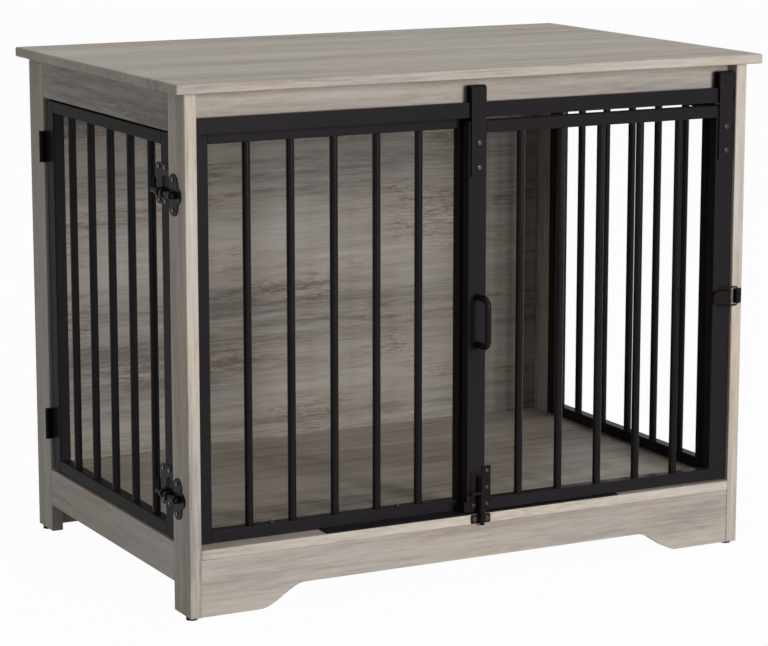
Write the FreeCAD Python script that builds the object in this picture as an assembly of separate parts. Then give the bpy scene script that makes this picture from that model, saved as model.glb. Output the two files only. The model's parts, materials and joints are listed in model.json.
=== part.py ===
import FreeCAD
import Part
import os
from math import sin, tan

# Dog crate end table: a board cabinet with barred metal panels, a hinged
# door in the left side and a barn-style sliding door in the front.
# Millimetres.  +X is to the viewer's right, -Y is the front, +Z is up.
# The origin is on the floor under the middle of the overall footprint.

V = FreeCAD.Vector
AXIS_X, AXIS_Y, AXIS_Z = V(1, 0, 0), V(0, 1, 0), V(0, 0, 1)

# ---- cabinet boards ----
body_w = 770.0           # across the outer faces of the side frames
body_d = 500.0           # front edge to rear edge of the side frames
body_h = 620.0           # foot of a stile to the underside of the top
board_t = 15.0           # thickness of frame boards, rails and aprons
rail_w = 48.0            # face width of every stile and rail
board_ease = 0.7         # chamfer on the edges of the boards
side_rail_lift = 35.0    # underside of the lower side rails above the feet
apron_h = 69.5           # height of the front and rear aprons
apron_set = 1.5          # front apron behind the floor board's edge
arch_rise = 26.5         # how far the middle of the front apron is cut up
arch_flat = 468.0        # length of the straight raised part
arch_run = 60.0          # length of each S-curve
floor_t = 12.0
back_t = 8.0

# ---- table top ----
top_t = 12.0
top_w = 800.0
top_over_front = 13.0
top_over_back = 9.0
top_edge_r = 2.0

# ---- glides under the feet ----
glide_h = 4.0
glide_r = 7.0
glide_in = 14.0          # glide centre in from the front or rear edge

# ---- barred metal panels ----
tube_d = 15.0            # depth of every frame tube
stile_w = 25.0           # face width of the upright tubes
rail_h = 15.0            # face height of the cross tubes
tube_wall = 1.2
tube_r = 1.5             # outer corner radius of the tubes
bar_r = 5.0
bar_wall = 1.0
bar_count = 5

# ---- front: fixed panel, track and sliding door ----
grille_set = 25.0        # fixed panel's face behind the front edge
door_set = 4.5           # sliding door's face behind the front edge
panel_lap = 23.0         # overlap of the fixed panel and the sliding door
door_gap = 1.0           # sliding door to the right-hand stile
door_lift = 2.5          # underside of the sliding door above the floor board
track_rise_gap = 4.0     # top of the door to the underside of the track
track_h = 18.5
track_t = 5.0
track_drop = 30.0        # top of the track below the underside of the top
track_tab_t = 2.5
track_screw_r = 2.0
fascia_gap = 2.0         # straps to the face of the fascia rail
grille_screw_low = 140.0 # screws in the fixed panel's stile, above the foot
grille_screw_high = 65.0 # and below the rail
front_pitch = 57.0       # spacing of the bars in both front panels

# ---- hangers and rollers ----
strap_t = 3.0
strap_w = 20.0
strap_gap = 8.0          # inside width of the bent strap
strap_r = 5.0            # outside bend radius
strap_tail = 67.0        # strap below the top of the door
strap_head = 1.5         # strap above the roller's flanges
hanger_screw_drops = (26.0, 56.0)   # below the top of the door
ride_gap = 0.2           # tread to the top of the track
roller_r = 7.5           # tread radius, which runs on the track
roller_flange = 1.0
roller_w = 7.0
tread_gap = 0.6          # side play of the track between the flanges
run_clear = 0.05         # radial clearance on pins and axles
axle_r = 2.5

# ---- left side door ----
side_set = 2.5           # door's outer face behind the frame's outer face
side_gap = 3.0           # gap round the door
side_pitch = 64.0        # spacing of the bars in both side panels
side_screw_in = 60.0     # right panel's screws from its ends
hinge_h = 40.0
hinge_pin_r = 1.5
hinge_r = 3.2
hinge_leaf_t = 1.2
hinge_leaf_w = 12.0      # leaf beyond the outer face of the board or tube
hinge_low = 60.0         # middle of each hinge from the end of the door
hinge_screw_dz = 12.0
hinge_screw_in = 7.0     # screws in from the outer face
hinge_screw_r = 2.4
hinge_knuckles = 5
hinge_play = 0.3         # gap between neighbouring knuckles
hinge_clear = 0.4        # barrel to the face of the stile

# ---- slide latches ----
latch_plate_t = 1.5
latch_along = 36.0
side_plate_low = 16.0    # side door plates below and above the bolt
side_plate_high = 33.0
latch_corner = 6.0
bolt_r = 3.0
bolt_clear = 0.3
guide_len = 6.0
guide_wall = 1.2
guide_pitch = 13.0
latch_edge = 0.5         # plate short of the door's edge
bolt_chamfer = 0.8
keeper_guide = 9.0
side_keeper_u = 6.5      # keeper from the door's edge
keeper_ear = 9.0
knob_r = 2.0
knob_len = 16.0
keeper_along = 24.0
keeper_across = 50.0
side_bolt_reach = 30.0   # latch bolt beyond the door's edge
side_bolt_len = 65.0
side_knob_at = 27.0      # pin from the door's edge
upper_latch_drop = 69.0  # below the top of the side door
lower_latch_up = 53.0    # above its bottom

# ---- floor bolt ----
floor_bolt_x = 4.0       # from the middle of the sliding door's left stile
floor_bolt_reach = 15.5  # below the underside of the door
floor_bolt_len = 62.0
floor_knob_at = 25.0
floor_plate_h = 50.0
floor_plate_left = 12.0  # plate left and right of the bolt
floor_plate_right = 16.0
floor_wing_w = 12.5
floor_wing_h = 57.0
floor_foot_w = 21.0      # foot left of the bolt, and its height
floor_foot_h = 13.5
floor_keeper_w = 27.0
floor_keeper_h = 11.0
floor_keeper_r = 1.5
floor_screw_in = 4.6     # keeper screws in from its ends
floor_guide = 5.0        # length of the keeper's guide
floor_keeper_screw_r = 3.4
floor_plate_screws = (9.0, 30.0, 51.0)

# ---- toggle latch ----
toggle_z = 324.5         # above the foot of the stile
toggle_base_w = 22.0
toggle_h = 15.5
toggle_t = 1.2
toggle_pivot_in = 8.0    # pivot from the right edge of the sliding door
toggle_arm = 6.0         # lever pivot to the loop's pivot
toggle_lever = 21.0      # lever beyond the pivot
toggle_pin_r = 1.5
toggle_play = 0.3
toggle_web_r = 1.0       # bend between the lever's face and its cheeks
toggle_lip = 4.0
toggle_lip_h = 11.5
loop_wire_r = 1.0
loop_clear = 0.3         # loop to the hook it pulls on
loop_h = 23.5
catch_h = 18.0
catch_t = 1.5
catch_gap = 5.0
catch_in = 1.5           # catch from the outer edge of the stile
catch_w = 11.5
catch_lip = 6.0          # width of the hook's lip
catch_screw_in = 3.0

# ---- handle ----
handle_h = 67.0
handle_out = 32.0
handle_r = 4.0
handle_bend = 10.0
handle_z = 323.5         # middle of the handle above the foot of the stile

# ---- floor strip and small screws ----
strip_t = 1.5
strip_len = 410.0
head_r = 3.5
head_h = 2.2
small_head_r = 2.5
small_head_h = 1.2
dot_r = 3.0
dot_depth = 2.5
foot_dot_up = 17.0       # dots in the stiles above the feet
rail_dots = (38.0, 32.0) # dots in the lower rails from their front and rear ends
strip_set = 1.0          # floor strip behind the floor board's edge
latch_screw_du = 9.0     # latch screws either side of the plate's middle
latch_screw_in = 5.0     # and in from its long edges
keeper_screw_in = 7.0
catch_screw_dz = 5.5

# ---- places worked out from the sizes ----
top_d = top_over_front + body_d + top_over_back
depth_shift = (handle_out - door_set - top_over_back) / 2   # centres the footprint
left = -body_w / 2
right = body_w / 2
inner_l = left + board_t
inner_r = right - board_t
front = -body_d / 2 + depth_shift
rear = body_d / 2 + depth_shift
foot = glide_h
board_top = foot + body_h
floor_top = foot + apron_h + floor_t
rail_low_top = foot + side_rail_lift + rail_w
rail_high = board_top - rail_w
open_front = front + rail_w          # front edge of the side openings
open_rear = rear - rail_w

track_top = board_top - track_drop
track_low = track_top - track_h
door_low = floor_top + door_lift
door_top = track_low - track_rise_gap
door_y = front + door_set
back_y = door_y + tube_d
panel_w = (inner_r - door_gap - inner_l + panel_lap) / 2    # both front panels
door_x1 = inner_r - door_gap
door_x0 = door_x1 - panel_w
grille_y = front + grille_set
strap_back = door_y + strap_gap + strap_t
track_y = door_y + (strap_gap - track_t) / 2
fascia_y = strap_back + fascia_gap
axle_z = track_top + roller_r + ride_gap
strap_top = axle_z + roller_r + roller_flange + strap_head + strap_t
left_stile_x = door_x0 + stile_w / 2
right_stile_x = door_x1 - stile_w / 2

side_x = left + side_set
side_y0 = open_front + side_gap
side_y1 = open_rear - side_gap
side_z0 = rail_low_top + side_gap
side_z1 = rail_high - side_gap
hinge_x = left - hinge_r - hinge_clear
hinge_y = open_rear - side_gap / 2

bolt_out = latch_plate_t + bolt_clear + bolt_r      # bolt axis in front of the keeper's face
toggle_x = door_x1 - toggle_pivot_in
toggle_y = front - catch_t - catch_gap / 2
catch_x = right - catch_in - catch_w
loop_len = catch_x + catch_t + loop_clear + loop_wire_r - (toggle_x - toggle_arm)


def box(x0, x1, y0, y1, z0, z1):
    return Part.makeBox(x1 - x0, y1 - y0, z1 - z0, V(x0, y0, z0))


def board(x0, x1, y0, y1, z0, z1, ease=board_ease):
    """A sawn board with all its edges eased."""
    solid = box(x0, x1, y0, y1, z0, z1)
    return solid.makeChamfer(ease, solid.Edges)


def rod(base, axis, radius, length):
    return Part.makeCylinder(radius, length, base, axis)


def edges_along(solid, axis):
    """The straight edges that run along one axis."""
    found = []
    for edge in solid.Edges:
        step = edge.Vertexes[-1].Point - edge.Vertexes[0].Point
        if step.Length > 1e-6 and abs(step.normalize().dot(axis)) > 0.999:
            found.append(edge)
    return found


def box_tube(x0, x1, z0, z1, along):
    """A hollow tube of depth tube_d in local axes, open at both ends."""
    outer = box(x0, x1, 0, tube_d, z0, z1)
    outer = outer.makeFillet(tube_r, edges_along(outer, along))
    w = tube_wall
    if along == AXIS_Z:
        bore = box(x0 + w, x1 - w, w, tube_d - w, z0, z1)
    else:
        bore = box(x0, x1, w, tube_d - w, z0 + w, z1 - w)
    return outer.cut(bore)


def panel_frame(width, height):
    """Two stiles and two rails, lower left corner at the local origin."""
    stiles = [box_tube(x, x + stile_w, 0, height, AXIS_Z) for x in (0, width - stile_w)]
    rails = [box_tube(stile_w, width - stile_w, z, z + rail_h, AXIS_X)
             for z in (0, height - rail_h)]
    return stiles + rails


def panel_bars(width, height, pitch):
    """Round hollow bars between the rails, spread from the middle."""
    bars = []
    length = height - 2 * rail_h
    for i in range(bar_count):
        x = width / 2 + (i - (bar_count - 1) / 2) * pitch
        base = V(x, tube_d / 2, rail_h)
        bar = rod(base, AXIS_Z, bar_r, length)
        bars.append(bar.cut(rod(base, AXIS_Z, bar_r - bar_wall, length)))
    return bars


def placed(solids, x, y, z, turn=0):
    """Turn local solids about Z and move them to their corner."""
    out = []
    for solid in solids:
        copy = solid.copy()
        copy.rotate(V(0, 0, 0), AXIS_Z, turn)
        copy.translate(V(x, y, z))
        out.append(copy)
    return out


def framed(solid, origin, u, v, n):
    """Lay a solid made in local axes onto the directions u, v and n."""
    m = FreeCAD.Matrix(u.x, v.x, n.x, origin.x,
                       u.y, v.y, n.y, origin.y,
                       u.z, v.z, n.z, origin.z, 0, 0, 0, 1)
    out = solid.copy()
    out.Placement = FreeCAD.Placement(m).multiply(out.Placement)
    return out


def pan_head(base, axis, radius=head_r, height=head_h):
    """The domed head of a screw, seated at base."""
    head = rod(base, axis, radius, height)
    rim = [e for e in head.Edges if len(e.Vertexes) == 1
           and (e.BoundBox.Center - base).dot(axis) > height / 2]
    return head.makeFillet(height * 0.6, rim)


def bent_wire(points, radius):
    """A path through corner points, with an arc of one radius at each bend."""
    edges = []
    start = points[0]
    for before, corner, after in zip(points, points[1:], points[2:]):
        to_before = (before - corner).normalize()
        to_after = (after - corner).normalize()
        half = to_before.getAngle(to_after) / 2
        cut = radius / tan(half)
        inward = (to_before + to_after).normalize()
        bend_in, bend_out = corner + to_before * cut, corner + to_after * cut
        crown = corner + inward * (radius / sin(half) - radius)
        edges.append(Part.makeLine(start, bend_in))
        edges.append(Part.Arc(bend_in, crown, bend_out).toShape())
        start = bend_out
    edges.append(Part.makeLine(start, points[-1]))
    return Part.Wire(edges)


def bent_rod(points, radius, wire_r):
    path = bent_wire(points, radius)
    ring = Part.Wire(Part.makeCircle(wire_r, points[0], points[1] - points[0]))
    return path.makePipeShell([ring], True, True)


def rounded_plate(u0, u1, v0, v1, t, r):
    plate = box(u0, u1, v0, v1, 0, t)
    return plate.makeFillet(r, edges_along(plate, AXIS_Z))


def save(name, solids):
    shape = solids[0] if len(solids) == 1 else Part.makeCompound(solids)
    if not shape.isValid():
        raise ValueError("invalid shape: " + name)
    shape.exportStep(os.path.join("parts", name + ".step"))
    print(name, len(shape.Solids), round(sum(s.Volume for s in shape.Solids)))


# ---------------------------------------------------------------- boards

def dot(x, y, z, axis):
    """A sunk screw head, and the hole that holds it, from the face inwards."""
    base = V(x, y, z)
    return rod(base, axis, dot_r, dot_depth), rod(base, axis, dot_r + run_clear, dot_depth)


def side_frame(face_x, inner_x, inward):
    """Stiles and rails of one side frame with the screw heads in its face."""
    x0, x1 = min(face_x, inner_x), max(face_x, inner_x)
    front_stile = board(x0, x1, front, front + rail_w, foot, board_top)
    rear_stile = board(x0, x1, rear - rail_w, rear, foot, board_top)
    top_rail = board(x0, x1, open_front, open_rear, rail_high, board_top)
    low_rail = board(x0, x1, open_front, open_rear, rail_low_top - rail_w, rail_low_top)
    axis = V(inward, 0, 0)
    stile_z = foot + foot_dot_up
    rail_z = floor_top - floor_t / 2
    front_head, front_hole = dot(face_x, front + apron_set + board_t / 2, stile_z, axis)
    rear_head, rear_hole = dot(face_x, rear - board_t / 2, stile_z, axis)
    heads = [front_head, rear_head]
    for y in (open_front + rail_dots[0], open_rear - rail_dots[1]):
        head, hole = dot(face_x, y, rail_z, axis)
        heads.append(head)
        low_rail = low_rail.cut(hole)
    return front_stile.cut(front_hole), rear_stile.cut(rear_hole), top_rail, low_rail, heads


def arch_apron():
    """The front apron, cut up between its feet with an S-curve at each end."""
    y0 = front + apron_set
    flat = arch_flat / 2
    foot_x = flat + arch_run
    rise = foot + arch_rise
    top = foot + apron_h

    def s_curve(x_foot, x_flat):
        points = []
        steps = 8
        for i in range(steps + 1):
            share = i / steps
            lift = arch_rise * (3 * share ** 2 - 2 * share ** 3)
            points.append(V(x_foot + (x_flat - x_foot) * share, y0, foot + lift))
        curve = Part.BSplineCurve()
        curve.interpolate(points)
        return curve.toShape()

    outline = [
        Part.makeLine(V(inner_l, y0, top), V(inner_l, y0, foot)),
        Part.makeLine(V(inner_l, y0, foot), V(-foot_x, y0, foot)),
        s_curve(-foot_x, -flat),
        Part.makeLine(V(-flat, y0, rise), V(flat, y0, rise)),
        s_curve(foot_x, flat),
        Part.makeLine(V(foot_x, y0, foot), V(inner_r, y0, foot)),
        Part.makeLine(V(inner_r, y0, foot), V(inner_r, y0, top)),
        Part.makeLine(V(inner_r, y0, top), V(inner_l, y0, top)),
    ]
    face = Part.Face(Part.Wire(Part.__sortEdges__(outline)))
    return face.extrude(V(0, board_t, 0))


def build_cabinet():
    top = box(-top_w / 2, top_w / 2, front - top_over_front, rear + top_over_back,
              board_top, board_top + top_t)
    top = top.makeFillet(top_edge_r, top.Edges)
    save("table_top", [top])

    heads = []
    for side, face_x, inner_x, inward in (("left", left, inner_l, 1), ("right", right, inner_r, -1)):
        f_stile, r_stile, t_rail, l_rail, dots = side_frame(face_x, inner_x, inward)
        save(side + "_front_stile", [f_stile])
        save(side + "_rear_stile", [r_stile])
        save(side + "_top_rail", [t_rail])
        save(side + "_bottom_rail", [l_rail])
        heads += dots
    save("carcass_screws", heads)

    save("back_panel", [board(inner_l, inner_r, rear - back_t, rear, floor_top, board_top)])
    save("rear_apron", [board(inner_l, inner_r, rear - board_t, rear, foot, foot + apron_h)])
    save("floor_board", [board(inner_l, inner_r, front, rear, foot + apron_h, floor_top)])
    save("front_apron", [arch_apron()])
    save("fascia_rail", [board(inner_l, inner_r, fascia_y, fascia_y + board_t, rail_high, board_top)])

    glides = []
    for x in (left + board_t / 2, right - board_t / 2):
        for y in (front + glide_in, rear - glide_in):
            glides.append(rod(V(x, y, 0), AXIS_Z, glide_r, glide_h))
    save("glides", glides)


# ---------------------------------------------------------------- front

def build_track():
    """A flat bar between the side frames with its ends turned back."""
    bar = box(inner_l, inner_r, track_y, track_y + track_t, track_low, track_top)
    tabs = [box(x, x + track_tab_t, track_y, fascia_y - fascia_gap / 4, track_low, track_top)
            for x in (inner_l, inner_r - track_tab_t)]
    track = bar.fuse(tabs).removeSplitter()
    screws = []
    tab_y = (track_y + track_t + fascia_y) / 2
    for x, way in ((inner_l, 1), (inner_r, -1)):
        base = V(x, tab_y, (track_low + track_top) / 2)
        hole = rod(base, V(way, 0, 0), track_screw_r + run_clear, track_tab_t)
        track = track.cut(hole)
        screws.append(rod(base, V(way, 0, 0), track_screw_r, track_tab_t))
    save("track_rail", [track])
    save("track_screws", screws)


def build_front_grille():
    height = rail_high - floor_top
    save("front_grille_frame", placed(panel_frame(panel_w, height), inner_l, grille_y, floor_top))
    save("front_grille_bars", placed(panel_bars(panel_w, height, front_pitch),
                                     inner_l, grille_y, floor_top))
    mid_y = grille_y + tube_d / 2
    screws = []
    for share in (-1.5, 1.5):
        x = inner_l + panel_w / 2 + share * front_pitch
        screws.append(pan_head(V(x, mid_y, floor_top + rail_h), AXIS_Z))
    for z in (foot + grille_screw_low, rail_high - grille_screw_high):
        screws.append(pan_head(V(inner_l + stile_w, mid_y, z), AXIS_X))
    save("front_grille_screws", screws)


def build_floor_strip():
    strip = box(-strip_len / 2, strip_len / 2, front + strip_set, grille_y, floor_top, floor_top + strip_t)
    save("floor_strip", [strip])


def hanger_strap(x):
    """A flat strap up the front of the door, bent over the track."""
    x0, x1 = x - strap_w / 2, x + strap_w / 2
    y0, y1, t = door_y - strap_t, strap_back, strap_t
    low = door_top - strap_tail
    strap = box(x0, x1, y0, y1, low, strap_top)
    tops = [e for e in edges_along(strap, AXIS_X) if e.BoundBox.Center.z > strap_top - 0.1]
    strap = strap.makeFillet(strap_r, tops)
    inner = box(x0, x1, y0 + t, y1 - t, low, strap_top - t)
    tops = [e for e in edges_along(inner, AXIS_X) if e.BoundBox.Center.z > strap_top - t - 0.1]
    strap = strap.cut(inner.makeFillet(strap_r - t, tops))
    return strap.cut(box(x0, x1, y1 - t, y1, low, track_low))


def grooved_roller(x):
    """A roller turned to sit over the track, bored for its axle."""
    mid = track_y + track_t / 2
    half = roller_w / 2
    tread = (track_t + tread_gap) / 2
    rim = roller_r + roller_flange
    bore = axle_r + run_clear
    profile = [V(x, mid - half, axle_z + bore), V(x, mid - half, axle_z + rim),
               V(x, mid - tread, axle_z + rim), V(x, mid - tread, axle_z + roller_r),
               V(x, mid + tread, axle_z + roller_r), V(x, mid + tread, axle_z + rim),
               V(x, mid + half, axle_z + rim), V(x, mid + half, axle_z + bore)]
    face = Part.Face(Part.makePolygon(profile + profile[:1]))
    return face.revolve(V(x, mid, axle_z), AXIS_Y, 360)


def build_sliding_door():
    height = door_top - door_low
    save("sliding_door_frame", placed(panel_frame(panel_w, height), door_x0, door_y, door_low))
    save("sliding_door_bars", placed(panel_bars(panel_w, height, front_pitch),
                                     door_x0, door_y, door_low))
    straps, axles, screws = [], [], []
    for side, x in (("left", left_stile_x), ("right", right_stile_x)):
        strap = hanger_strap(x)
        axle_y = door_y - strap_t
        axle_len = strap_back - axle_y
        straps.append(strap.cut(rod(V(x, axle_y, axle_z), AXIS_Y, axle_r, axle_len)))
        axles.append(rod(V(x, axle_y, axle_z), AXIS_Y, axle_r, axle_len))
        for drop in hanger_screw_drops:
            screws.append(pan_head(V(x, axle_y, door_top - drop), -AXIS_Y))
        save(side + "_roller", [grooved_roller(x)])
    save("hanger_straps", straps)
    save("roller_axles", axles)
    save("hanger_screws", screws)


def build_handle():
    """A round wire pull with two bends, and the screws behind its ends."""
    x = left_stile_x
    reach = door_y - (handle_out - handle_r)
    half = handle_h / 2 - handle_r
    z = foot + handle_z
    points = [V(x, door_y, z + half), V(x, reach, z + half),
              V(x, reach, z - half), V(x, door_y, z - half)]
    save("door_handle", [bent_rod(points, handle_bend, handle_r)])
    save("handle_screws", [pan_head(V(x, back_y, z + way * half), AXIS_Y, small_head_r, small_head_h)
                           for way in (1, -1)])


# ---------------------------------------------------------------- sides

def build_right_grille():
    width, height = open_rear - open_front, rail_high - rail_low_top
    x = right - side_set
    save("right_grille_frame", placed(panel_frame(width, height), x, open_front, rail_low_top, 90))
    save("right_grille_bars", placed(panel_bars(width, height, side_pitch),
                                     x, open_front, rail_low_top, 90))
    screws = []
    for y, way in ((open_front + stile_w, 1), (open_rear - stile_w, -1)):
        for z in (rail_low_top + side_screw_in, rail_high - side_screw_in):
            screws.append(pan_head(V(x - tube_d / 2, y, z), V(0, way, 0)))
    save("right_grille_screws", screws)


def build_side_door():
    width, height = side_y1 - side_y0, side_z1 - side_z0
    save("side_door_frame", placed(panel_frame(width, height), side_x, side_y1, side_z0, -90))
    save("side_door_bars", placed(panel_bars(width, height, side_pitch),
                                  side_x, side_y1, side_z0, -90))


def hinge_leaf(owner, low):
    """One leaf, folded into the gap, with its share of the knuckles."""
    high = low + hinge_h
    if owner == "post":
        face_x, y0, y1 = left, open_rear - hinge_leaf_t, open_rear
    else:
        face_x, y0, y1 = side_x, side_y1, side_y1 + hinge_leaf_t
    leaf = box(hinge_x, face_x + hinge_leaf_w, y0, y1, low, high)
    step = hinge_h / hinge_knuckles
    reach = hinge_r + hinge_play
    knuckles = []
    for i in range(hinge_knuckles):
        z0 = low + i * step + (hinge_play / 2 if i else 0)
        z1 = low + (i + 1) * step - (hinge_play / 2 if i < hinge_knuckles - 1 else 0)
        if (i % 2 == 0) == (owner == "post"):
            knuckles.append(rod(V(hinge_x, hinge_y, z0), AXIS_Z, hinge_r, z1 - z0))
        else:
            leaf = leaf.cut(box(hinge_x - reach, hinge_x + reach, hinge_y - reach, hinge_y + reach,
                                z0 - hinge_play, z1 + hinge_play))
    return leaf.fuse(knuckles).removeSplitter(), face_x + hinge_screw_in, y0


def build_hinges():
    """Butt hinges: knuckles in turn on the post leaf and the door leaf."""
    leaves = {"post": [], "door": []}
    screws = {"post": [], "door": []}
    pins = []
    for mid in (side_z0 + hinge_low, side_z1 - hinge_low):
        low = mid - hinge_h / 2
        pins.append(rod(V(hinge_x, hinge_y, low), AXIS_Z, hinge_pin_r, hinge_h))
        bore = rod(V(hinge_x, hinge_y, low), AXIS_Z, hinge_pin_r + run_clear, hinge_h)
        for owner in leaves:
            leaf, screw_x, leaf_y = hinge_leaf(owner, low)
            leaf = leaf.cut(bore)
            for dz in (-hinge_screw_dz, hinge_screw_dz):
                seat = V(screw_x, leaf_y, mid + dz)
                leaf = leaf.cut(rod(seat, AXIS_Y, hinge_screw_r + run_clear, hinge_leaf_t))
                screws[owner].append(rod(seat, AXIS_Y, hinge_screw_r, hinge_leaf_t))
            leaves[owner].append(leaf)
    for owner in leaves:
        save("hinge_" + owner + "_leaves", leaves[owner])
        save("hinge_" + owner + "_screws", screws[owner])
    save("hinge_pins", pins)


# ---------------------------------------------------------------- latches
# A latch is made in local axes: u towards its keeper from the door's edge,
# v across, n out from the door's face.

def guide(u0, length, axis_n, base_n):
    """A strap guide round the bolt, standing on a plate."""
    outer = bolt_r + bolt_clear + guide_wall
    body = box(u0, u0 + length, -outer, outer, base_n, axis_n)
    body = body.fuse(rod(V(u0, 0, axis_n), AXIS_X, outer, length))
    body = body.cut(box(u0, u0 + length, -outer, outer, base_n - outer, base_n))
    return body.cut(rod(V(u0, 0, axis_n), AXIS_X, bolt_r + bolt_clear, length))


def with_guides(plate, axis_n):
    """A door plate with its two strap guides."""
    first = -latch_edge - guide_len
    guides = [guide(u, guide_len, axis_n, latch_plate_t) for u in (first, first - guide_pitch)]
    return plate.fuse(guides).removeSplitter()


def side_plate():
    return rounded_plate(-latch_along, -latch_edge, -side_plate_low, side_plate_high,
                         latch_plate_t, latch_corner)


def floor_plate():
    """A tall plate with a longer wing to the right and a low foot to the left."""
    left_v, right_v = -floor_plate_left, floor_plate_right
    plate = rounded_plate(-floor_plate_h, -latch_edge, left_v, right_v, latch_plate_t, floor_keeper_r)
    wing = rounded_plate(-floor_wing_h, -latch_edge, right_v - floor_wing_w, right_v,
                         latch_plate_t, floor_keeper_r)
    low = rounded_plate(-floor_foot_h, -latch_edge, -floor_foot_w, right_v, latch_plate_t, floor_keeper_r)
    return plate.fuse([wing, low])


def latch_bolt(axis_n, length, reach, knob_at, knob_way):
    """A round bolt with a pin to pull it by."""
    bolt = rod(V(reach - length, 0, axis_n), AXIS_X, bolt_r, length)
    ends = [e for e in bolt.Edges if len(e.Vertexes) == 1]
    bolt = bolt.makeChamfer(bolt_chamfer, ends)
    knob = rod(V(-knob_at, 0, axis_n), V(0, knob_way, 0), knob_r, knob_len)
    rim = [e for e in knob.Edges if len(e.Vertexes) == 1 and abs(e.BoundBox.Center.y) > knob_len / 2]
    return bolt.fuse(knob.makeFillet(knob_r / 2, rim)).removeSplitter()


def side_keeper():
    """A round-ended plate with an ear, and a strap guide over the bolt."""
    end_r = keeper_along / 2
    dv = keeper_across / 2 - end_r
    u0, mid_u = side_keeper_u, side_keeper_u + end_r
    plate = box(u0, u0 + keeper_along, -dv, dv, 0, latch_plate_t)
    ends = [rod(V(mid_u, way * dv, 0), AXIS_Z, end_r, latch_plate_t) for way in (-1, 1)]
    plate = plate.fuse(ends + [rod(V(u0 + keeper_along, 0, 0), AXIS_Z, keeper_ear, latch_plate_t)])
    plate.translate(V(0, 0, side_set))
    return plate.fuse(guide(mid_u - keeper_guide / 2, keeper_guide, side_set + bolt_out,
                            side_set + latch_plate_t))


def floor_keeper():
    """A small oblong plate on the floor's front edge, with a strap guide."""
    half = floor_keeper_w / 2
    plate = rounded_plate(door_lift, door_lift + floor_keeper_h, -half, half,
                          latch_plate_t, floor_keeper_r)
    plate.translate(V(0, 0, door_set))
    start = door_lift + (floor_keeper_h - floor_guide) / 2
    return plate.fuse(guide(start, floor_guide, door_set + bolt_out, door_set + latch_plate_t))


def latch_screws(spots, n, radius=small_head_r):
    return [pan_head(V(u, v, n), AXIS_Z, radius, small_head_h) for u, v in spots]


def build_side_latches():
    axes = (-AXIS_Y, AXIS_Z, -AXIS_X)
    axis_n = side_set + bolt_out
    door_screws, frame_screws = [], []
    for name, z in (("upper", side_z1 - upper_latch_drop), ("lower", side_z0 + lower_latch_up)):
        origin = V(side_x, side_y0, z)
        save(name + "_latch_plate", [framed(with_guides(side_plate(), axis_n), origin, *axes)])
        bolt = latch_bolt(axis_n, side_bolt_len, side_bolt_reach, side_knob_at, 1)
        save(name + "_latch_bolt", [framed(bolt, origin, *axes)])
        save(name + "_keeper", [framed(side_keeper(), origin, *axes)])
        spots = [(-latch_along / 2 + u, v) for u in (-latch_screw_du, latch_screw_du)
                 for v in (latch_screw_in - side_plate_low, side_plate_high - latch_screw_in)]
        door_screws += [framed(s, origin, *axes) for s in latch_screws(spots, latch_plate_t)]
        keeper_v = keeper_across / 2 - keeper_screw_in
        spots = [(side_keeper_u + keeper_along / 2, v) for v in (-keeper_v, keeper_v)]
        frame_screws += [framed(s, origin, *axes)
                         for s in latch_screws(spots, side_set + latch_plate_t)]
    save("side_latch_screws", door_screws)
    return frame_screws


def build_floor_bolt():
    axes = (-AXIS_Z, AXIS_X, -AXIS_Y)
    axis_n = door_set + bolt_out
    origin = V(left_stile_x + floor_bolt_x, door_y, door_low)
    save("floor_bolt_plate", [framed(with_guides(floor_plate(), axis_n), origin, *axes)])
    bolt = latch_bolt(axis_n, floor_bolt_len, floor_bolt_reach, floor_knob_at, -1)
    save("floor_bolt", [framed(bolt, origin, *axes)])
    save("floor_keeper", [framed(floor_keeper(), origin, *axes)])
    outer = bolt_r + bolt_clear + guide_wall
    spots = [(-u, (outer + floor_plate_right) / 2) for u in floor_plate_screws]
    spots.append((-floor_plate_screws[0], -(outer + floor_plate_left) / 2))
    save("floor_bolt_screws", [framed(s, origin, *axes) for s in latch_screws(spots, latch_plate_t)])
    keeper_v = floor_keeper_w / 2 - floor_screw_in
    spots = [(door_lift + floor_keeper_h / 2, v) for v in (-keeper_v, keeper_v)]
    return [framed(s, origin, *axes)
            for s in latch_screws(spots, door_set + latch_plate_t, floor_keeper_screw_r)]


def toggle_lever_body(z, lug_r, cheek_in):
    """A pressed lever: a face, two cheeks with eyes, and a narrower lip."""
    t, half = toggle_t, toggle_h / 2
    tip_x, loop_x = toggle_x - toggle_lever, toggle_x - toggle_arm
    face_y = toggle_y - lug_r - toggle_play - t
    body = box(tip_x, loop_x + lug_r, face_y, toggle_y + lug_r - toggle_play, z - half, z + half)
    outer = [e for e in edges_along(body, AXIS_X) if e.BoundBox.Center.y < face_y + t / 2]
    body = body.makeFillet(toggle_web_r, outer)
    lever = body.cut(box(tip_x - 1, loop_x + lug_r + 1, face_y + t, toggle_y + lug_r,
                         z - cheek_in, z + cheek_in))
    for way in (-1, 1):
        low = z + min(way * cheek_in, way * half)
        arm = box(loop_x, toggle_x, toggle_y - lug_r, toggle_y + lug_r - toggle_play, low, low + t)
        lever = lever.fuse([arm, rod(V(toggle_x, toggle_y, low), AXIS_Z, lug_r - toggle_play, t)])
    lip_half = toggle_lip_h / 2
    lip = box(tip_x - toggle_lip, tip_x + t, face_y - t, face_y, z - lip_half, z + lip_half)
    lip = lip.fuse(box(tip_x, tip_x + t, face_y - t, face_y + t, z - lip_half, z + lip_half))
    return lever.fuse(lip)


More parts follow.
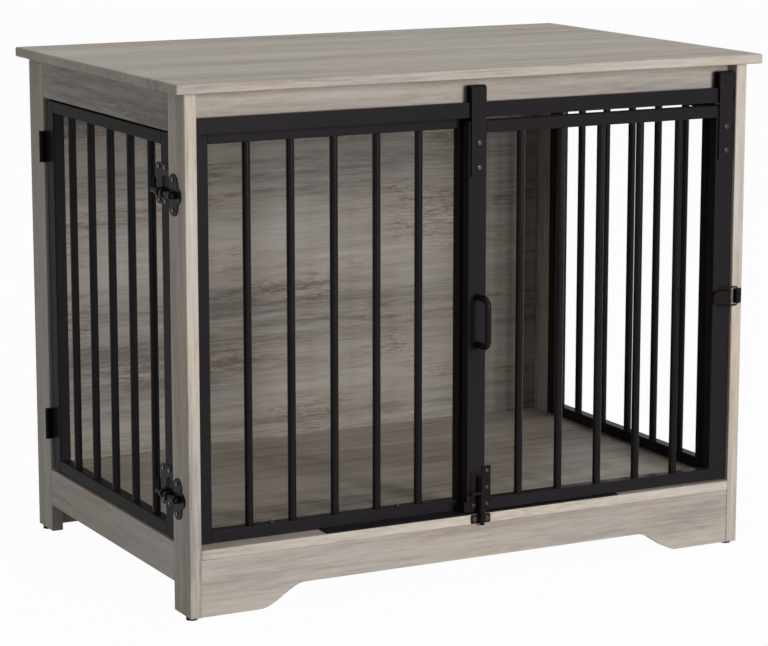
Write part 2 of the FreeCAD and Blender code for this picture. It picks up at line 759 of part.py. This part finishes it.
def build_toggle():
    """A draw latch: lever on the door, wire loop, hook on the frame."""
    z = foot + toggle_z
    t, half = toggle_t, toggle_h / 2
    lug_r = toggle_pin_r + 2.0
    cheek_in = half - t                  # inner face of the lever's cheeks
    lug_out = cheek_in - toggle_play     # outer face of the base's lugs
    plate_y = door_y - t
    pin_base = V(toggle_x, toggle_y, z - half)
    pin_bore = rod(pin_base, AXIS_Z, toggle_pin_r + run_clear, toggle_h)

    base = box(door_x1 - toggle_base_w, door_x1, plate_y, door_y, z - half, z + half)
    for way in (-1, 1):
        low = z + min(way * lug_out, way * (lug_out - t))
        lug = box(toggle_x - lug_r, toggle_x + lug_r, toggle_y, plate_y, low, low + t)
        base = base.fuse([lug, rod(V(toggle_x, toggle_y, low), AXIS_Z, lug_r, t)])
    loop_x = toggle_x - toggle_arm
    loop_bore = rod(V(loop_x, toggle_y, z - half), AXIS_Z, loop_wire_r + run_clear, toggle_h)
    lever = toggle_lever_body(z, lug_r, cheek_in).cut(pin_bore).cut(loop_bore).removeSplitter()
    save("toggle_base", [base.cut(pin_bore).removeSplitter()])
    save("toggle_lever", [lever])
    save("toggle_pin", [rod(pin_base, AXIS_Z, toggle_pin_r, toggle_h)])

    far_x, wire_z = loop_x + loop_len, loop_h / 2
    inner = cheek_in - toggle_play
    points = [V(loop_x, toggle_y, z + inner), V(loop_x, toggle_y, z + wire_z),
              V(far_x, toggle_y, z + wire_z), V(far_x, toggle_y, z - wire_z),
              V(loop_x, toggle_y, z - wire_z), V(loop_x, toggle_y, z - inner)]
    save("toggle_loop", [bent_rod(points, 2 * loop_wire_r, loop_wire_r)])

    z0, z1 = z - catch_h / 2, z + catch_h / 2
    outer_y = front - 2 * catch_t - catch_gap
    catch = box(catch_x, catch_x + catch_w, front - catch_t, front, z0, z1)
    catch = catch.fuse([box(catch_x, catch_x + catch_t, outer_y, front, z0, z1),
                        box(catch_x, catch_x + catch_lip, outer_y, outer_y + catch_t, z0, z1)])
    save("toggle_catch", [catch.removeSplitter()])
    screw_x = catch_x + catch_w - catch_screw_in
    screws = [pan_head(V(screw_x, front - catch_t, z + dz), -AXIS_Y, small_head_r, small_head_h)
              for dz in (-catch_screw_dz, catch_screw_dz)]
    save("catch_screws", screws)


def build_keeper_screws():
    save("keeper_screws", build_side_latches() + build_floor_bolt())


build_order = [build_cabinet, build_track, build_front_grille, build_floor_strip,
               build_sliding_door, build_handle, build_right_grille, build_side_door,
               build_hinges, build_keeper_screws, build_toggle]

os.makedirs("parts", exist_ok=True)
for build in build_order:
    build()
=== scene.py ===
import bpy
import bmesh
import json
import math
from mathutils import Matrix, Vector

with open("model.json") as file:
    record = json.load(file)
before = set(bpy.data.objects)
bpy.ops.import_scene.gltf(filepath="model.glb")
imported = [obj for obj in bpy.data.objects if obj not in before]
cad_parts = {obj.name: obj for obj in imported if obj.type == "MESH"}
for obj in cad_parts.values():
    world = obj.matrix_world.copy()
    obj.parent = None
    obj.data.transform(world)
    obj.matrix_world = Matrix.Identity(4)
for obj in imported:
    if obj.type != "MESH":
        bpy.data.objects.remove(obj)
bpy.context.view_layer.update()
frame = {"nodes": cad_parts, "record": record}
nodes = frame["nodes"]
scene = bpy.context.scene
print("frame loaded:", len(nodes), "nodes")


def srgb(red, green, blue):
    # a colour on a 0-255 scale, as the shader wants it
    def linear(level):
        share = level / 255
        return share / 12.92 if share <= 0.04045 else ((share + 0.055) / 1.055) ** 2.4
    return (linear(red), linear(green), linear(blue), 1.0)


def grey(level):
    return (level, level, level, 1.0)


def addNode(tree, kind, x, y, **settings):
    node = tree.nodes.new("ShaderNode" + kind)
    node.location = (x, y)
    for name, value in settings.items():
        setattr(node, name, value)
    return node


def join(tree, outSocket, inSocket):
    tree.links.new(outSocket, inSocket)


def feed(tree, value, inSocket):
    # a link from another node, or a fixed value
    if hasattr(value, "is_output"):
        join(tree, value, inSocket)
    else:
        inSocket.default_value = value


def mathNode(tree, operation, x, y, *values, clamp=False):
    node = addNode(tree, "Math", x, y, operation=operation, use_clamp=clamp)
    for socket, value in zip(node.inputs, values):
        feed(tree, value, socket)
    return node.outputs[0]


def spread(tree, x, y, source, low, high, smooth="SMOOTHSTEP"):
    # 0 at low, 1 at high
    node = addNode(tree, "MapRange", x, y, interpolation_type=smooth)
    node.inputs["From Min"].default_value = low
    node.inputs["From Max"].default_value = high
    join(tree, source, node.inputs["Value"])
    return node.outputs[0]


def mixColour(tree, x, y, factor, first, second):
    node = addNode(tree, "Mix", x, y, data_type="RGBA")
    for socket, value in zip((node.inputs["Factor"], node.inputs[6], node.inputs[7]), (factor, first, second)):
        feed(tree, value, socket)
    return node.outputs[2]


def stretched(tree, vector, x, y, scale):
    node = addNode(tree, "Mapping", x, y, vector_type="POINT")
    node.inputs["Scale"].default_value = scale
    join(tree, vector, node.inputs["Vector"])
    return node.outputs[0]


def noise(tree, vector, x, y, detail, roughness=0.5, distortion=0.0, scale=1.0):
    node = addNode(tree, "TexNoise", x, y, noise_dimensions="3D")
    node.inputs["Detail"].default_value = detail
    node.inputs["Roughness"].default_value = roughness
    node.inputs["Distortion"].default_value = distortion
    feed(tree, scale, node.inputs["Scale"])
    join(tree, vector, node.inputs["Vector"])
    return node


def addBump(tree, height, strength, depth, shader):
    bump = addNode(tree, "Bump", -220, -250)
    bump.inputs["Strength"].default_value = strength
    bump.inputs["Distance"].default_value = depth
    join(tree, height, bump.inputs["Height"])
    join(tree, bump.outputs[0], shader.inputs["Normal"])


def newGroup(name, inputs, outputs):
    group = bpy.data.node_groups.new(name, "ShaderNodeTree")
    for label, kind, value in inputs:
        socket = group.interface.new_socket(label, in_out="INPUT", socket_type=kind)
        if value is not None:
            socket.default_value = value
    for label, kind in outputs:
        group.interface.new_socket(label, in_out="OUTPUT", socket_type=kind)
    start, end = group.nodes.new("NodeGroupInput"), group.nodes.new("NodeGroupOutput")
    start.location, end.location = (-1500, 0), (2500, 0)
    return group, start, end


def newMaterial(name, group, turn=(0.0, 0.0, 0.0), offset=(0.0, 0.0, 0.0)):
    # a material whose finish comes from a group, laid out over the object
    material = bpy.data.materials.new(name)
    material.use_nodes = True
    tree = material.node_tree
    shader = tree.nodes["Principled BSDF"]
    place = addNode(tree, "TexCoord", -900, 0)
    mapping = addNode(tree, "Mapping", -700, 0, vector_type="POINT")
    mapping.inputs["Rotation"].default_value = turn
    mapping.inputs["Location"].default_value = offset
    join(tree, place.outputs["Object"], mapping.inputs["Vector"])
    finish = addNode(tree, "Group", -480, 0, node_tree=group)
    join(tree, mapping.outputs[0], finish.inputs["Vector"])
    join(tree, finish.outputs["Color"], shader.inputs["Base Color"])
    join(tree, finish.outputs["Roughness"], shader.inputs["Roughness"])
    return material, tree, finish, shader


def setMaterial(nodeName, material):
    mesh = nodes[nodeName].data
    mesh.materials.clear()
    mesh.materials.append(material)


# ---- the printed grain of the boards ----
# the vector comes in with the grain along X, in metres

grainSizes = {
    "wander": (1.6, 5.0, 5.0),        # how the grain drifts across the board
    "wanderBy": 0.006,
    "bands": (1.3, 13.0, 13.0),       # soft light and dark areas
    "streaks": (3.2, 85.0, 85.0),     # long lines
    "fibres": (22.0, 330.0, 330.0),   # short fine dashes
    "patches": (5.0, 16.0, 16.0),     # where the rough saw marks are
    "ripple": (55.0, 400.0, 400.0),   # the saw marks
    "knots": (4.5, 15.0, 15.0),
}
grainShares = {"bands": 1.6, "streaks": 1.25, "fibres": 1.0, "ripple": 1.9, "halo": 0.25}
grainLevels = {
    "middle": 0.55,                   # the level of the plain board, from 0, dark, to 1, light
    "rippleMiddle": 0.54,
    "roughFrom": 0.50,                # patches above this have saw marks
    "roughFull": 0.62,
    "warmBy": 1.4,                    # how much the colour's strength follows the patches
    "warmFrom": 0.3,
    "glossBy": -0.16,
    "glossFrom": 0.62,
}
grainKnots = {
    "chosen": 0.72,                   # cells above this hold a knot
    "halo": (0.50, 0.06),             # from its edge to its middle
    "core": (0.10, 0.03),
    "bulge": 0.006,                   # how far it pushes the grain aside
    "roughness": 0.5,                 # its share of saw marks
    "stain": 0.75,
    "tone": (72, 62, 56),
}
boardTones = {"Light": (198, 189, 178), "Mid": (173, 163, 152), "Dark": (118, 108, 100)}


def buildKnots(group, start, vector):
    # a few knots, and the grain bulges round each
    cells = addNode(group, "TexVoronoi", -580, -700, feature="F1", voronoi_dimensions="3D")
    cells.inputs["Scale"].default_value = 1.0
    join(group, stretched(group, vector, -760, -700, grainSizes["knots"]), cells.inputs["Vector"])
    pick = addNode(group, "SeparateColor", -380, -860)
    join(group, cells.outputs["Color"], pick.inputs[0])
    chosen = mathNode(group, "GREATER_THAN", -200, -860, pick.outputs[0], grainKnots["chosen"])
    chosen = mathNode(group, "MULTIPLY", -40, -860, chosen, start.outputs["Knots"])
    near = spread(group, -380, -620, cells.outputs["Distance"], *grainKnots["halo"], "SMOOTHERSTEP")
    inside = spread(group, -200, -700, cells.outputs["Distance"], *grainKnots["core"])
    halo = mathNode(group, "MULTIPLY", 120, -640, near, chosen)
    core = mathNode(group, "MULTIPLY", 120, -820, inside, chosen)
    push = mathNode(group, "MULTIPLY", -40, -460, halo, grainKnots["bulge"])
    pushBy = addNode(group, "CombineXYZ", 120, -460)
    join(group, push, pushBy.inputs[1])
    join(group, push, pushBy.inputs[2])
    bent = addNode(group, "VectorMath", 280, -420, operation="ADD")
    join(group, pushBy.outputs[0], bent.inputs[0])
    join(group, vector, bent.inputs[1])
    return bent.outputs[0], halo, core


def buildGrainGroup():
    group, start, end = newGroup(
        "weatheredGrain",
        [("Vector", "NodeSocketVector", None), ("Contrast", "NodeSocketFloat", 1.0),
         ("Rough Marks", "NodeSocketFloat", 1.0), ("Knots", "NodeSocketFloat", 1.0)]
        + [(label, "NodeSocketColor", srgb(*tone)) for label, tone in boardTones.items()],
        [("Color", "NodeSocketColor"), ("Roughness", "NodeSocketFloat"), ("Height", "NodeSocketFloat")])
    vector = start.outputs["Vector"]
    drift = noise(group, stretched(group, vector, -1300, -300, grainSizes["wander"]), -1120, -300, 2.0, 0.55)
    centred = addNode(group, "VectorMath", -940, -300, operation="SUBTRACT")
    join(group, drift.outputs["Color"], centred.inputs[0])
    centred.inputs[1].default_value = (0.5, 0.5, 0.5)
    wander = addNode(group, "VectorMath", -760, -300, operation="MULTIPLY_ADD")
    join(group, centred.outputs[0], wander.inputs[0])
    wander.inputs[1].default_value = (0.0, grainSizes["wanderBy"], grainSizes["wanderBy"])
    join(group, vector, wander.inputs[2])
    bent, halo, core = buildKnots(group, start, wander.outputs[0])

    def layer(label, y, *settings):
        return noise(group, stretched(group, bent, 460, y, grainSizes[label]), 640, y, *settings).outputs["Fac"]

    bands = layer("bands", 500, 2.0, 0.5)
    streaks = layer("streaks", 250, 4.0, 0.6)
    fibres = layer("fibres", 0, 3.0, 0.65)
    ripple = layer("ripple", -250, 2.0, 0.6, 0.8)
    patches = layer("patches", -500, 2.0, 0.5)

    # one level from 0, dark, to 1, light
    parts = []
    for label, source, y in (("bands", bands, 500), ("streaks", streaks, 300), ("fibres", fibres, 100)):
        share = grainShares[label]
        parts.append(mathNode(group, "MULTIPLY_ADD", 820, y, source, share, -share / 2))
    level = mathNode(group, "ADD", 980, 300, parts[0], parts[1])
    level = mathNode(group, "ADD", 980, 100, level, parts[2])
    where = spread(group, 820, -500, patches, grainLevels["roughFrom"], grainLevels["roughFull"])
    where = mathNode(group, "MULTIPLY", 980, -420, where, start.outputs["Rough Marks"])
    nearKnots = mathNode(group, "MULTIPLY", 980, -560, halo, grainKnots["roughness"])
    where = mathNode(group, "ADD", 1140, -420, where, nearKnots, clamp=True)
    share = grainShares["ripple"]
    marks = mathNode(group, "MULTIPLY_ADD", 980, -200, ripple, share, -share * grainLevels["rippleMiddle"])
    marks = mathNode(group, "MULTIPLY", 1140, -200, marks, where)
    level = mathNode(group, "ADD", 1140, 200, level, marks)
    level = mathNode(group, "MULTIPLY", 1300, 200, level, start.outputs["Contrast"])
    darker = mathNode(group, "MULTIPLY", 1300, 0, halo, grainShares["halo"])
    level = mathNode(group, "SUBTRACT", 1460, 200, level, darker)
    level = mathNode(group, "ADD", 1620, 200, level, grainLevels["middle"], clamp=True)

    darkToMid = spread(group, 1620, 400, level, 0.0, 0.5, "LINEAR")
    midToLight = spread(group, 1800, 200, level, 0.5, 1.0, "LINEAR")
    colour = mixColour(group, 1800, 400, darkToMid, start.outputs["Dark"], start.outputs["Mid"])
    colour = mixColour(group, 1960, 400, midToLight, colour, start.outputs["Light"])
    # warmer and cooler areas
    warm = mathNode(group, "MULTIPLY_ADD", 1960, 600, patches, grainLevels["warmBy"], grainLevels["warmFrom"])
    cast = addNode(group, "HueSaturation", 2120, 400)
    join(group, colour, cast.inputs["Color"])
    join(group, warm, cast.inputs["Saturation"])
    stain = mathNode(group, "MULTIPLY", 2120, 100, core, grainKnots["stain"])
    colour = mixColour(group, 2280, 400, stain, cast.outputs[0], srgb(*grainKnots["tone"]))
    rough = mathNode(group, "MULTIPLY_ADD", 2120, -100, fibres,
                     grainLevels["glossBy"], grainLevels["glossFrom"])
    for label, source in (("Color", colour), ("Roughness", rough), ("Height", level)):
        join(group, source, end.inputs[label])
    return group


grainGroup = buildGrainGroup()

boardFinish = {"bump": 0.12, "bumpDepth": 0.0004, "specular": 0.35}


def boardMaterial(name, turn, offset, contrast, marks, knots, toneAndPaintedShade):
    material, tree, grain, shader = newMaterial(name, grainGroup, turn, offset)
    grain.inputs["Contrast"].default_value = contrast
    grain.inputs["Rough Marks"].default_value = marks
    grain.inputs["Knots"].default_value = knots
    # the board's tones scaled down here, for some boards as painted shade
    for label, tone in boardTones.items():
        grain.inputs[label].default_value = srgb(*(level * toneAndPaintedShade for level in tone))
    addBump(tree, grain.outputs["Height"], boardFinish["bump"], boardFinish["bumpDepth"], shader)
    shader.inputs["Specular IOR Level"].default_value = boardFinish["specular"]
    return material


quarter = math.pi / 2
alongX, alongY, alongZ = (0.0, 0.0, 0.0), (0.0, 0.0, -quarter), (0.0, quarter, 0.0)

# node: grain direction, place in the print, contrast, rough marks, knots, tone and painted shade
# the last number scales a board's tones; on the back panel, the rear stiles and the left top rail it is painted
# shade of the crate's inside and its left side, partly the boards' own darker tone
boards = {
    "table_top": (alongX, (0.4, 0.13, 0.0), 0.8, 0.15, 0.0, 0.96),
    "fascia_rail": (alongX, (2.1, 0.3, 0.2), 0.6, 0.5, 0.0, 0.9),
    "floor_board": (alongX, (3.4, 0.6, 0.1), 1.0, 0.8, 0.3, 0.99),
    "front_apron": (alongX, (5.2, 0.2, 0.4), 0.6, 0.4, 0.3, 0.97),
    "rear_apron": (alongX, (6.7, 0.1, 0.3), 0.6, 0.3, 0.3, 1.0),
    "back_panel": (alongX, (8.3, 0.5, 0.2), 1.0, 1.0, 0.7, 0.82),
    "left_front_stile": (alongZ, (1.3, 0.5, 0.1), 0.8, 0.3, 0.3, 1.03),
    "left_rear_stile": (alongZ, (2.7, 0.2, 0.6), 0.9, 0.3, 0.3, 0.9),
    "right_front_stile": (alongZ, (4.9, 0.4, 0.3), 0.6, 0.3, 0.3, 1.03),
    "right_rear_stile": (alongZ, (7.1, 0.1, 0.5), 1.1, 0.8, 0.3, 0.86),
    "left_top_rail": (alongY, (0.95, 0.7, 0.24), 1.6, 1.0, 1.0, 0.83),
    "left_bottom_rail": (alongY, (3.8, 0.3, 0.7), 0.9, 0.3, 0.6, 1.0),
    "right_top_rail": (alongY, (5.6, 0.2, 0.1), 0.9, 0.5, 0.5, 1.0),
    "right_bottom_rail": (alongY, (7.7, 0.6, 0.4), 0.9, 0.5, 0.5, 1.0),
}
for nodeName, settings in boards.items():
    setMaterial(nodeName, boardMaterial("board_" + nodeName, *settings))
print("boards finished:", len(boards))


# ---- painted steel ----

coatings = {
    "steelCoat": {"tone": (36, 33, 36), "rough": 0.26, "peel": 0.06, "peelScale": 900.0, "specular": 0.015},
    # the same black steel as steelCoat with a darker tone: painted shade for the dark surroundings that the
    # glossy round bars reflect
    "barPaintedShadeCoat": {"tone": (18, 15, 16), "rough": 0.24, "peel": 0.03, "peelScale": 900.0, "specular": 0.08},
    "hardwareCoat": {"tone": (30, 23, 25), "rough": 0.26, "peel": 0.05, "peelScale": 700.0, "specular": 0.03},
    "nylon": {"tone": (27, 26, 26), "rough": 0.45, "peel": 0.05, "peelScale": 500.0, "specular": 0.06},
    "screwMetal": {"tone": (30, 27, 27), "rough": 0.25, "peel": 0.03, "peelScale": 600.0, "specular": 0.5},
}
coatFinish = {
    "peelDepth": 0.0002,
    "smudgeScale": 9.0,
    "dust": 0.03,            # share of dust where the smudges are
    "dustTone": (96, 92, 90),
    "uneven": 0.14,          # how much the smudges change the roughness
}


def buildCoatGroup():
    group, start, end = newGroup(
        "powderCoat",
        [("Vector", "NodeSocketVector", None), ("Tone", "NodeSocketColor", srgb(28, 27, 29)),
         ("Roughness", "NodeSocketFloat", 0.36), ("Peel Scale", "NodeSocketFloat", 900.0)],
        [("Color", "NodeSocketColor"), ("Roughness", "NodeSocketFloat"), ("Height", "NodeSocketFloat")])
    vector = start.outputs["Vector"]
    smudge = noise(group, vector, -900, 200, 4.0, scale=coatFinish["smudgeScale"]).outputs["Fac"]
    peel = noise(group, vector, -900, -200, 1.0, scale=start.outputs["Peel Scale"]).outputs["Fac"]
    dust = mathNode(group, "MULTIPLY", -700, 400, smudge, coatFinish["dust"])
    colour = mixColour(group, -500, 300, dust, start.outputs["Tone"], srgb(*coatFinish["dustTone"]))
    uneven = mathNode(group, "MULTIPLY_ADD", -500, 0, smudge, coatFinish["uneven"], -coatFinish["uneven"] / 2)
    rough = mathNode(group, "ADD", -300, 0, uneven, start.outputs["Roughness"])
    for label, source in (("Color", colour), ("Roughness", rough), ("Height", peel)):
        join(group, source, end.inputs[label])
    return group


coatGroup = buildCoatGroup()


def coatMaterial(name, coat):
    material, tree, paint, shader = newMaterial(name, coatGroup)
    paint.inputs["Tone"].default_value = srgb(*coat["tone"])
    paint.inputs["Roughness"].default_value = coat["rough"]
    paint.inputs["Peel Scale"].default_value = coat["peelScale"]
    addBump(tree, paint.outputs["Height"], coat["peel"], coatFinish["peelDepth"], shader)
    shader.inputs["Specular IOR Level"].default_value = coat["specular"]
    return material


coats = {name: coatMaterial(name, coat) for name, coat in coatings.items()}
slotCoats = {"black_steel": "steelCoat", "black_hardware": "hardwareCoat",
             "black_nylon": "nylon", "black_screw": "screwMetal"}
roundSteel = ("door_handle", "toggle_loop")    # finished as the bars are
for part in frame["record"]["subparts"]:
    if part["node"].endswith("_bars") or part["node"] in roundSteel:
        setMaterial(part["node"], coats["barPaintedShadeCoat"])
    elif part["material_slot"] in slotCoats:
        setMaterial(part["node"], coats[slotCoats[part["material_slot"]]])
print("metal finished")


# ---- floor, light and camera ----

studio = {
    "floorSize": 60.0,
    "floorTone": 0.34,
    "floorRough": 0.9,
    "floorWhite": 0.975,     # share of plain white that the camera sees on the floor
    "sky": 0.205,
    "skyTone": (1.0, 0.99, 0.98, 1.0),
    # from, at, width, height, watts
    "lamps": {
        "frontPanel": ((1.1, -4.6, 1.15), (0.0, 0.0, 0.3), 1.2, 2.0, 195.0),
        "topPanel": ((0.5, -0.4, 3.4), (0.0, 0.0, 0.6), 2.2, 1.8, 20.0),
        "leftStrip": ((-4.2, -1.3, 1.0), (-0.35, 0.0, 0.3), 0.12, 1.8, 12.0),
    },
}


def whiteRays(tree):
    # 1 where the camera, a reflection or glass looks
    path = addNode(tree, "LightPath", -500, 300)
    seen = mathNode(tree, "MAXIMUM", -200, 300, path.outputs["Is Camera Ray"], path.outputs["Is Glossy Ray"])
    return mathNode(tree, "MAXIMUM", -50, 300, seen, path.outputs["Is Transmission Ray"])


def buildFloor():
    mesh = bpy.data.meshes.new("studioFloor")
    shape = bmesh.new()
    bmesh.ops.create_grid(shape, x_segments=1, y_segments=1, size=studio["floorSize"] / 2)
    shape.to_mesh(mesh)
    shape.free()
    floor = bpy.data.objects.new("studioFloor", mesh)
    scene.collection.objects.link(floor)
    material = bpy.data.materials.new("studioFloor")
    material.use_nodes = True
    tree = material.node_tree
    shader = tree.nodes["Principled BSDF"]
    shader.inputs["Base Color"].default_value = grey(studio["floorTone"])
    shader.inputs["Roughness"].default_value = studio["floorRough"]
    shader.inputs["Specular IOR Level"].default_value = 0.0
    glow = addNode(tree, "Emission", 0, -300)
    glow.inputs["Strength"].default_value = 1.0
    mix = addNode(tree, "MixShader", 300, 0)
    join(tree, mathNode(tree, "MULTIPLY", 100, 300, whiteRays(tree), studio["floorWhite"]), mix.inputs[0])
    join(tree, shader.outputs[0], mix.inputs[1])
    join(tree, glow.outputs[0], mix.inputs[2])
    join(tree, mix.outputs[0], tree.nodes["Material Output"].inputs["Surface"])
    mesh.materials.append(material)


def buildWorld():
    world = bpy.data.worlds.new("studioWorld")
    scene.world = world
    world.use_nodes = True
    tree = world.node_tree
    sky = tree.nodes["Background"]
    sky.inputs["Color"].default_value = studio["skyTone"]
    sky.inputs["Strength"].default_value = studio["sky"]
    white = addNode(tree, "Background", 0, -200)
    white.inputs["Color"].default_value = grey(1.0)
    white.inputs["Strength"].default_value = 1.0
    mix = addNode(tree, "MixShader", 300, 0)
    join(tree, whiteRays(tree), mix.inputs[0])
    join(tree, sky.outputs[0], mix.inputs[1])
    join(tree, white.outputs[0], mix.inputs[2])
    join(tree, mix.outputs[0], tree.nodes["World Output"].inputs["Surface"])


def buildLamps():
    for name, (place, target, width, height, watts) in studio["lamps"].items():
        lamp = bpy.data.lights.new(name, "AREA")
        lamp.shape = "RECTANGLE"
        lamp.size, lamp.size_y, lamp.energy = width, height, watts
        panel = bpy.data.objects.new(name, lamp)
        panel.location = place
        panel.rotation_euler = (Vector(target) - panel.location).to_track_quat("-Z", "Y").to_euler()
        scene.collection.objects.link(panel)


# where the photograph was taken from
photoCamera = {
    "place": (-1.6686, -3.2049, 0.9756),
    "turn": 0.4790,          # to the right of straight ahead
    "tip": 0.1890,           # down from level
    "lens": 133.5,
    "sensor": 36.0,
}


def buildCamera():
    eye = bpy.data.cameras.new("photoCamera")
    eye.lens = photoCamera["lens"]
    eye.sensor_width = photoCamera["sensor"]
    eye.sensor_fit = "HORIZONTAL"
    camera = bpy.data.objects.new("photoCamera", eye)
    camera.location = photoCamera["place"]
    camera.rotation_euler = (quarter - photoCamera["tip"], 0.0, -photoCamera["turn"])
    scene.collection.objects.link(camera)
    scene.camera = camera


buildFloor()
buildWorld()
buildLamps()
buildCamera()
scene.view_settings.view_transform = "Standard"
print("studio ready")
